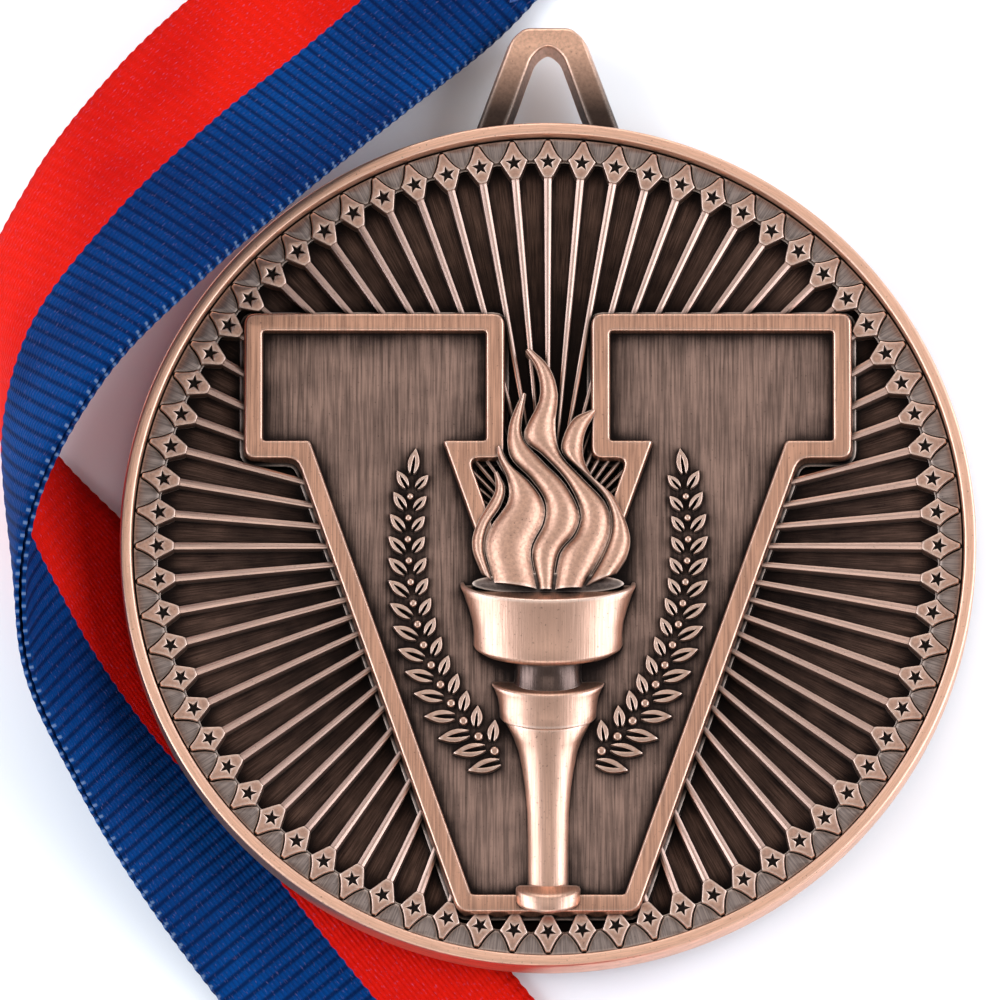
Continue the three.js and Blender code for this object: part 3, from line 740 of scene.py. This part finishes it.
def laurel_parts():
    """The leaves and berries of the right spray as lists of solids."""
    places = np.linspace(0, len(LAUREL_STEM) - 1, 300)
    stem = through(LAUREL_STEM, places)
    run = distance_along(stem)
    leaf_section = cast_section(PANEL - 0.05, LAUREL, 0.04, 0.06, 2)
    berry_section = cast_section(PANEL - 0.05, LAUREL - 0.05, 0.03, 0.2, 4)
    leaves, berries = [], []

    def leaf(base, heading, length, width, slot):
        outline = turn(leaf_outline(length, width, slot), math.radians(heading))
        leaves.append(relief([[tuple(base + p) for p in outline]], leaf_section))

    for i in range(BERRY_COUNT):
        size = 1 - i / (BERRY_COUNT - 1)
        distance = run[-1] * i / (BERRY_COUNT - 1)
        here, ahead = (np.array([np.interp(distance + d, run, stem[:, k]) for k in range(2)])
                       for d in (0.0, 0.1))
        if i == BERRY_COUNT - 1:
            ahead = here + np.array([-0.01, 0.1])
        along = unit(ahead - here)
        leftward = np.array([-along[1], along[0]])
        heading = math.degrees(math.atan2(along[1], along[0]))
        spread = 36 + 18 * size
        leaf(here + 0.7 * along - 0.34 * leftward, heading - spread, 1.62 + 1.05 * size,
             0.84 + 0.25 * size, 0.28 + 0.12 * size)
        leaf(here + 0.72 * along + 0.46 * leftward, heading + spread, 1.45 + 0.3 * size,
             0.76 + 0.18 * size, 0.24)
        radius = 0.27 + 0.1 * size
        berries.append(relief([ellipse(here, radius, radius, 14)], berry_section))
    leaf(stem[0] + np.array([-0.45, -0.94]), -15, 2.7, 1.1, 0.4)
    leaf(np.array([11.12, 5.9]), 99, 2.1, 0.94, 0.26)
    return leaves, berries


def make_laurels():
    leaves, berries = laurel_parts()
    for side in ("left", "right"):
        for kind, solids in (("leaves", leaves), ("berries", berries)):
            vertices, faces = joined(solids)
            if side == "left":
                vertices = [(-x, y, z) for x, y, z in vertices]
                faces = [face[::-1] for face in faces]
            stands_for = ["laurel_" + side] if kind == "leaves" else []
            mesh_piece("laurel_%s_%s" % (kind, side), (vertices, faces), leaf_metal,
                       stands_for=stands_for, smooth_angle=50)


# ---- Suspension loop ----


def make_loop():
    """The cast eye at the top, let into the rim's outer wall."""
    low, high = (corner.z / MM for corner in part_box("suspension_loop"))
    outline = rounded([(-5.95, 34.1), (5.95, 34.1), (2.95, 42.2), (1.9, 43.1), (-1.9, 43.1),
                       (-2.95, 42.2)], 0.5, 5)
    arch = [(-2.75, 36.6), (-1.75, 39.4), (-1.15, 40.75), (0, 41.5)]
    arch += [(-x, y) for x, y in arch[-2::-1]]
    top = [tuple(point) for point in through(arch, np.linspace(0, len(arch) - 1, 31))]
    eye = [(-3.55, 34.5)] + top + [(3.55, 34.5)]
    section = cast_section(low, high, 0.28, 0.3, 5)
    section[1][1] = high - 0.5  # the leaning wall ends lower than the rounded edge starts
    mesh_piece("cast_suspension_loop", relief([outline, eye], section), loop_metal,
               stands_for=["suspension_loop"], smooth_angle=50)


# ---- Ribbon ----

# Stations mostly 12 mm apart, as in the CAD: the red edge, the middle and the blue edge of each.
RIBBON_ROUTE = [
    [(-13.5, 62, 0.6), (-6.5, 55, 0.6), (1, 48.5, 0.6)],
    [(-19, 56.5, 0.9), (-11.5, 49.5, 1.4), (-4.5, 42.5, 2.2)],
    [(-27, 48, 3.3), (-19.5, 41.5, 5.6), (-12, 35.5, 8)],
    [(-35, 39.5, 6.7), (-27.5, 34, 10.4), (-20, 28, 13.6)],
    [(-42, 30, 7.4), (-35.5, 25.5, 13.4), (-28.3, 20, 18)],
    [(-46.3, 19.5, 5), (-42.3, 15.7, 13.3), (-36.3, 11.3, 20)],
    [(-41.6, 9.7, 1), (-44, 4.8, 9.3), (-42, 0.7, 18)],
    [(-33.2, 1, 0.6), (-39.5, -5.2, 4.5), (-42.6, -10.3, 12.7)],
    [(-25.2, -8, 0.7), (-33, -14.6, 1.7), (-38.1, -20.2, 7.6)],
    [(-17.3, -17.2, 0.7), (-24.9, -23.6, 1.1), (-32.1, -29.9, 3.9)],
    [(-9.6, -26.5, 0.6), (-17.3, -32.9, 0.7), (-25, -39.2, 0.9)],
    [(-2, -35.8, 0.6), (-9.7, -42.2, 0.6), (-17.4, -48.5, 0.6)],
    [(7.2, -47.1, 0.6), (-0.5, -53.4, 0.6), (-8.2, -59.8, 0.6)],
]
STRANDS = np.linspace(-1, 1, 15)  # places across the ribbon, from its red to its blue edge
MIDDLE = len(STRANDS) // 2
ROW_STEP = 0.21


def end_frame():
    """The clip's hinge: where its bar is, the way across the ribbon, and the way outwards."""
    joint = frame["joints"][0]
    place = np.array(joint["pos_m"]) / MM
    across = unit(np.array(joint["axis"], float))
    return place, across, np.cross(UP, across)


def doubled_route():
    """The doubled ribbon's middle surface: its points and normals, row by row."""
    places = np.linspace(0, len(RIBBON_ROUTE) - 1, 4000)
    lines = through(RIBBON_ROUTE, places)
    run = distance_along(lines[:, 1])
    even = np.interp(np.arange(0, run[-1], ROW_STEP), run, places)
    red, middle, blue = np.moveaxis(through(RIBBON_ROUTE, even), 1, 0)
    crown = (red + blue) / 2 - middle
    across = STRANDS[None, :, None]
    surface = middle[:, None] + (blue - red)[:, None] / 2 * across + crown[:, None] * across**2
    forward = np.gradient(surface, axis=0)
    sideways = np.gradient(surface, axis=1)
    return surface, unit(np.cross(forward, sideways))


def rolled_rows(surface, rolled_length):
    """Rows that run in flat under the roll, then wind up into it."""
    red, blue = surface[-1, 0], surface[-1, -1]
    across = unit((blue - red) * [1, 1, 0])
    outwards = np.cross(UP, across)
    start = (red + blue) / 2
    outside = math.sqrt(ROLL_CORE**2 + rolled_length * ROLL_PITCH / math.pi)
    radius = outside - (LAYER_OFFSET + LAYER_HALF)  # of the outermost turn's middle
    centres, normals = [], []
    for distance in np.arange(ROW_STEP, LEAD_IN, ROW_STEP):
        centres.append(start + outwards * distance)
        normals.append(UP)
    axis = start + outwards * LEAD_IN + UP * radius
    angle, here = 0.0, radius
    while here > ROLL_CORE:
        inwards = UP * math.cos(angle) - outwards * math.sin(angle)
        centres.append(axis - here * inwards)
        normals.append(inwards)
        angle += ROW_STEP / here
        here = radius - ROLL_PITCH * angle / (2 * math.pi)
    centres, normals = np.array(centres), np.array(normals)
    rows = centres[:, None] + across * RIBBON_HALF_WIDTH * STRANDS[None, :, None]
    return rows, np.repeat(normals[:, None], len(STRANDS), 1)


def ribbon_surface():
    """Both layers as one endless strip: round the clip, along the top, round the core, back below."""
    surface, normals = doubled_route()
    rolled = RIBBON_LENGTH / 2 - len(surface) * ROW_STEP - LEAD_IN
    roll, roll_normals = rolled_rows(surface, rolled)
    surface = np.concatenate([surface, roll])
    normals = np.concatenate([normals, roll_normals])
    lower = surface - normals * LAYER_OFFSET
    from_fold = fold_reach(lower[0]) + np.arange(len(surface)) * ROW_STEP
    upper = surface + normals * (LAYER_OFFSET + fold_lift(from_fold)[:, None, None])

    forward = unit(surface[-1] - surface[-2])
    core = [surface[-1] + LAYER_OFFSET * (normals[-1] * math.cos(angle) + forward * math.sin(angle))
            for angle in np.linspace(0, math.pi, 7)[1:-1]]
    return np.concatenate([fold_rows(lower[0]), upper, np.array(core), lower[::-1]])


def fold_reach(bottom):
    """How far the fold's own centre lies beyond the bottom layer's last row."""
    bar, _, outwards = end_frame()
    return np.dot(bar - bottom[MIDDLE], outwards) - 0.1


def fold_lift(distance):
    """How much further apart the layers are at a distance back from the fold's centre."""
    ease = np.clip(1 - distance / FOLD_EASE, 0, 1)
    return ease**2 * (3 - 2 * ease) * 2 * (FOLD_RADIUS - LAYER_OFFSET)


def fold_rows(bottom):
    """Rows from the bottom layer's end out under the clip's bar, round it and back over it."""
    _, _, outwards = end_frame()
    reach = fold_reach(bottom)
    flat = np.arange(ROW_STEP, reach, ROW_STEP)
    rows = [bottom + outwards * distance for distance in flat]
    for angle in np.linspace(0, math.pi, 18):
        out = outwards * (reach + FOLD_RADIUS * math.sin(angle))
        rows.append(bottom + out + UP * FOLD_RADIUS * (1 - math.cos(angle)))
    for distance in flat[::-1]:
        rise = 2 * LAYER_OFFSET + fold_lift(reach - distance)
        rows.append(bottom + outwards * distance + UP * rise)
    return np.array(rows)


def make_ribbon():
    rows = ribbon_surface()
    forward = np.roll(rows, -1, 0) - np.roll(rows, 1, 0)
    sideways = np.gradient(rows, axis=1)
    normals = unit(np.cross(forward, sideways))
    distance = distance_along(rows[:, MIDDLE])

    # Each weft rib swells the layer, which thins at its edges, and bulges out at the selvedges.
    rib = np.sin(2 * math.pi * distance / RIB_PITCH)
    thickness = LAYER_HALF * (1 + 0.16 * rib)[:, None, None]
    edge = 1 - 0.35 * np.abs(STRANDS) ** 10
    thickness = thickness * edge[None, :, None]
    picot = 0.09 * np.abs(np.sin(math.pi * distance / RIB_PITCH))
    outwards = unit(sideways) * (np.sign(STRANDS) * (np.abs(STRANDS) > 0.99))[None, :, None]
    rows = rows + outwards * (picot - 0.04)[:, None, None]

    ring = np.concatenate([rows + normals * thickness, (rows - normals * thickness)[:, ::-1]], 1)
    count = ring.shape[1]
    vertices = ring.reshape(-1, 3).tolist()
    faces = grid_faces(len(rows), count, True, True)
    piece = mesh_piece("neck_ribbon", (vertices, faces), ribbon_material(), smooth_angle=180,
                       stands_for=["ribbon_upper_run", "ribbon_turn", "ribbon_lower_run", "ribbon_roll",
                                   "ribbon_end_fold"])
    across = np.concatenate([STRANDS, STRANDS[::-1]])
    store_values(piece, "across", np.tile(across, len(rows)))
    store_values(piece, "along", np.repeat(distance, count))
    return rows


def store_values(piece, name, values):
    attribute = piece.data.attributes.new(name, "FLOAT", "POINT")
    attribute.data.foreach_set("value", np.asarray(values, np.float32))


def ribbon_material():
    """Ribbed weave: weft cords across, fine warp along, half red and half blue."""
    material, tree, shader = new_material("ribbed_weave")
    across = add_node(tree, "Attribute", attribute_name="across").outputs["Fac"]
    along = add_node(tree, "Attribute", attribute_name="along").outputs["Fac"]
    rib = calculate(tree, "SINE", calculate(tree, "MULTIPLY", along, 2 * math.pi / RIB_PITCH))
    warp = calculate(tree, "SINE", calculate(tree, "MULTIPLY", across, 2 * math.pi * 26))
    place = add_node(tree, "CombineXYZ", {0: along, 1: calculate(tree, "MULTIPLY", across, 10.0)})
    fibres = stretched_noise(tree, place.outputs[0], 2.2, 7.0, 1.0, 3.0)
    cloudy = stretched_noise(tree, place.outputs[0], 0.05, 0.08, 1.0, 3.0)

    wavy = calculate(tree, "MULTIPLY_ADD", rib, 0.005, across)
    is_blue = remap(tree, wavy, -0.004, 0.004)
    shade = remap(tree, cloudy, 0.35, 0.65)
    red = mix_colour(tree, shade, (0.48, 0.004, 0.002, 1), (0.62, 0.008, 0.002, 1))
    blue = mix_colour(tree, shade, (0.0, 0.017, 0.09, 1), (0.0, 0.042, 0.18, 1))
    colour = mix_colour(tree, is_blue, red, blue)
    hollow = remap(tree, rib, 0.1, -0.9)
    between = calculate(tree, "MULTIPLY", remap(tree, warp, -0.2, -1.0), 0.4)
    hollow = calculate(tree, "MAXIMUM", hollow, between)
    deep = calculate(tree, "MULTIPLY_ADD", is_blue, 0.68, 0.1)
    shadow = mix_colour(tree, is_blue, (0.25, 0.003, 0.002, 1), (0.0, 0.004, 0.03, 1))
    colour = mix_colour(tree, calculate(tree, "MULTIPLY", hollow, deep), colour, shadow)
    fleck = calculate(tree, "MULTIPLY", remap(tree, fibres, 0.6, 0.78), 0.3)
    colour = mix_colour(tree, fleck, colour, (0.30, 0.2, 0.4, 1))
    # Pale dashes along the blue selvedge where each rib ends: painted highlights on the picot loops.
    picot = remap(tree, across, 0.982, 0.992)
    picot_highlight = calculate(tree, "MULTIPLY", picot, remap(tree, rib, 0.5, 0.9, 0.0, 0.22))
    colour = mix_colour(tree, picot_highlight, colour, (0.42, 0.55, 0.72, 1))
    tree.links.new(colour, shader.inputs["Base Color"])
    height = calculate(tree, "MULTIPLY_ADD", warp, 0.3, rib)
    height = calculate(tree, "MULTIPLY_ADD", fibres, 0.7, height)
    bump = add_node(tree, "Bump", {"Height": height, "Distance": 0.07 * MM, "Strength": 0.8})
    tree.links.new(bump.outputs[0], shader.inputs["Normal"])
    rough = calculate(tree, "MULTIPLY_ADD", fibres, 0.25, 0.5)
    tree.links.new(rough, shader.inputs["Roughness"])
    shader.inputs["Specular IOR Level"].default_value = 0.04
    return material


# ---- Sewn end and clip ----


def tube(points, radius, segments=12):
    """A round bar with closed ends along points that lie close together."""
    points = np.array(points, float)
    forward = unit(np.gradient(points, axis=0))
    side = unit(np.cross(forward, UP))
    lift = np.cross(side, forward)
    vertices = []
    for i, centre in enumerate(points):
        for k in range(segments):
            angle = 2 * math.pi * k / segments
            spoke = side[i] * math.cos(angle) + lift[i] * math.sin(angle)
            vertices.append(tuple(centre + radius * spoke))
    faces = grid_faces(len(points), segments, closed_columns=True)
    faces.append(list(range(segments))[::-1])
    last = (len(points) - 1) * segments
    faces.append(list(range(last, last + segments)))
    return vertices, faces


def rounded_path(corners, radius, step=0.35):
    """An open path whose inner corners are rounded, as evenly spaced points."""
    corners = [np.array(c, float) for c in corners]
    path = [corners[0]]
    for before, here, after in zip(corners, corners[1:], corners[2:]):
        start = here + unit(before - here) * radius
        end = here + unit(after - here) * radius
        path += curve(start, here, end, 12)
    path = np.array(path + [corners[-1]])
    run = distance_along(path)
    even = np.linspace(0, run[-1], round(run[-1] / step))
    return [np.array([np.interp(d, run, path[:, k]) for k in range(3)]) for d in even]


def make_clip():
    place, across, outwards = end_frame()
    half_bar, half_nose, reach, corner = 11.8, 3.0, 13.0, 1.5
    tilt = math.asin((1.45 - WIRE_RADIUS) / reach)  # so that the nose rests near the table
    away = outwards * math.cos(tilt) - UP * math.sin(tilt)

    def at(x, y):
        return place + across * x + away * y

    corners = [at(0.5, 0), at(half_bar, 0), at(half_nose, reach), at(-half_nose, reach),
               at(-half_bar, 0), at(-0.5, 0)]
    material, tree, shader = new_material("sprung_wire")
    noise = stretched_noise(tree, position(tree), 1.5, 1.5, 1.5, 5.0)
    dull = mix_colour(tree, noise, (0.30, 0.31, 0.33, 1), (0.48, 0.48, 0.50, 1))
    tree.links.new(dull, shader.inputs["Base Color"])
    tree.links.new(remap(tree, noise, 0.3, 0.7, 0.14, 0.34), shader.inputs["Roughness"])
    shader.inputs["Metallic"].default_value = 1.0
    bump = add_node(tree, "Bump", {"Height": noise, "Distance": 0.02 * MM, "Strength": 0.3})
    tree.links.new(bump.outputs[0], shader.inputs["Normal"])
    mesh_piece("bent_wire_clip", tube(rounded_path(corners, corner), WIRE_RADIUS), material, CLIP,
               stands_for=["wire_clip"], smooth_angle=50)


def make_stitching(rows):
    """A zigzag of thread lying on the top layer, just inside the fold."""
    bar, _, outwards = end_frame()
    behind = np.dot(bar - rows[:, MIDDLE], outwards)
    first = int(np.argmax(behind > 4.7))
    near, far = rows[first], rows[first + 5]
    normal = unit(np.cross(rows[first + 1] - near, np.gradient(near, axis=0)))[MIDDLE]
    stitches, steps, edge = 17, 6, 0.92
    points = []
    for i in range(stitches * steps + 1):
        across = edge * (2 * i / (stitches * steps) - 1)
        swing = abs((i / steps) % 1 - 0.5) * 2
        row = near * swing + far * (1 - swing)
        here = np.array([np.interp(across, STRANDS, row[:, k]) for k in range(3)])
        points.append(here + normal * (LAYER_HALF + THREAD_RADIUS + 0.02))
    material, tree, shader = new_material("sewing_thread")
    twist = stretched_noise(tree, position(tree), 9.0, 9.0, 9.0, 2.0)
    colour = mix_colour(tree, twist, (0.01, 0.03, 0.12, 1), (0.03, 0.09, 0.3, 1))
    tree.links.new(colour, shader.inputs["Base Color"])
    tree.links.new(remap(tree, twist, 0.3, 0.7, 0.5, 0.8), shader.inputs["Roughness"])
    bump = add_node(tree, "Bump", {"Height": twist, "Distance": 0.03 * MM})
    tree.links.new(bump.outputs[0], shader.inputs["Normal"])
    mesh_piece("zigzag_stitching", tube(points, THREAD_RADIUS, 8), material,
               stands_for=["end_stitching"], smooth_angle=60)


# ---- Studio ----


def make_camera():
    """A long lens, 10 degrees off straight above, with the medal right of the middle."""
    tilt = math.radians(10)
    right = Vector((1, 0, 0))
    up = Vector((0, math.cos(tilt), math.sin(tilt)))
    back = Vector((0, -math.sin(tilt), math.cos(tilt)))
    field_width = 81.7
    distance = 2500
    sensor_width = 36
    target = Vector((0, 0, RIM)) - 3.92 * right + 3.53 * up
    camera = bpy.data.objects.new("camera", bpy.data.cameras.new("camera"))
    camera.data.sensor_width = sensor_width
    camera.data.lens = sensor_width * distance / field_width
    camera.data.clip_start = 0.01
    camera.data.clip_end = 20
    camera.location = (target + distance * back) * MM
    camera.rotation_mode = "QUATERNION"
    camera.rotation_quaternion = back.to_track_quat("Z", "Y")
    bpy.context.scene.collection.objects.link(camera)
    bpy.context.scene.camera = camera


def make_light(name, place, size, power, colour=(1.0, 1.0, 1.0)):
    """A soft rectangular lamp aimed at the medal; place and size are in metres."""
    lamp = bpy.data.lights.new(name, "AREA")
    lamp.shape = "RECTANGLE"
    lamp.size, lamp.size_y = size
    lamp.energy = power
    lamp.color = colour
    light = bpy.data.objects.new(name, lamp)
    light.location = place
    light.rotation_mode = "QUATERNION"
    light.rotation_quaternion = Vector(place).to_track_quat("Z", "Y")
    bpy.context.scene.collection.objects.link(light)


def make_floor():
    half = 4  # in metres
    material, _, shader = new_material("pale_floor")
    shader.inputs["Base Color"].default_value = (0.92, 0.92, 0.92, 1)
    shader.inputs["Roughness"].default_value = 0.9
    mesh = bpy.data.meshes.new("studio_floor")
    corners = [(-half, -half, 0), (half, -half, 0), (half, half, 0), (-half, half, 0)]
    mesh.from_pydata(corners, [], [[0, 1, 2, 3]])
    mesh.materials.append(material)
    floor = bpy.data.objects.new("studio_floor", mesh)
    bpy.context.scene.collection.objects.link(floor)


def make_lighting():
    """A dim even sky, with a large lamp on each side and small ones in front, behind and above."""
    world = bpy.data.worlds.new("studio_world")
    world.use_nodes = True
    sky = world.node_tree.nodes["Background"].inputs
    sky["Color"].default_value = (0.97, 0.98, 1.0, 1)
    sky["Strength"].default_value = 0.42
    bpy.context.scene.world = world
    bpy.context.scene.view_settings.view_transform = "Standard"
    make_light("overhead", (0.0, 0.15, 0.85), (0.4, 0.28), 0.32)
    for name, x in (("left_softbox", -0.75), ("right_softbox", 0.75)):
        make_light(name, (x, 0.0, 0.49), (1.0, 0.72), 9.4, (0.86, 0.95, 1.08))
    make_light("front_softbox", (0.0, -0.74, 0.5), (0.6, 0.4), 1.6)
    make_light("back_softbox", (0.0, 0.74, 0.5), (0.6, 0.4), 2.2)


make_camera()
make_floor()
make_lighting()
make_disc()
make_rim()
make_sunburst()
make_plaque()
make_torch()
make_flame()
make_laurels()
make_loop()
ribbon_rows = make_ribbon()
make_stitching(ribbon_rows)
make_clip()
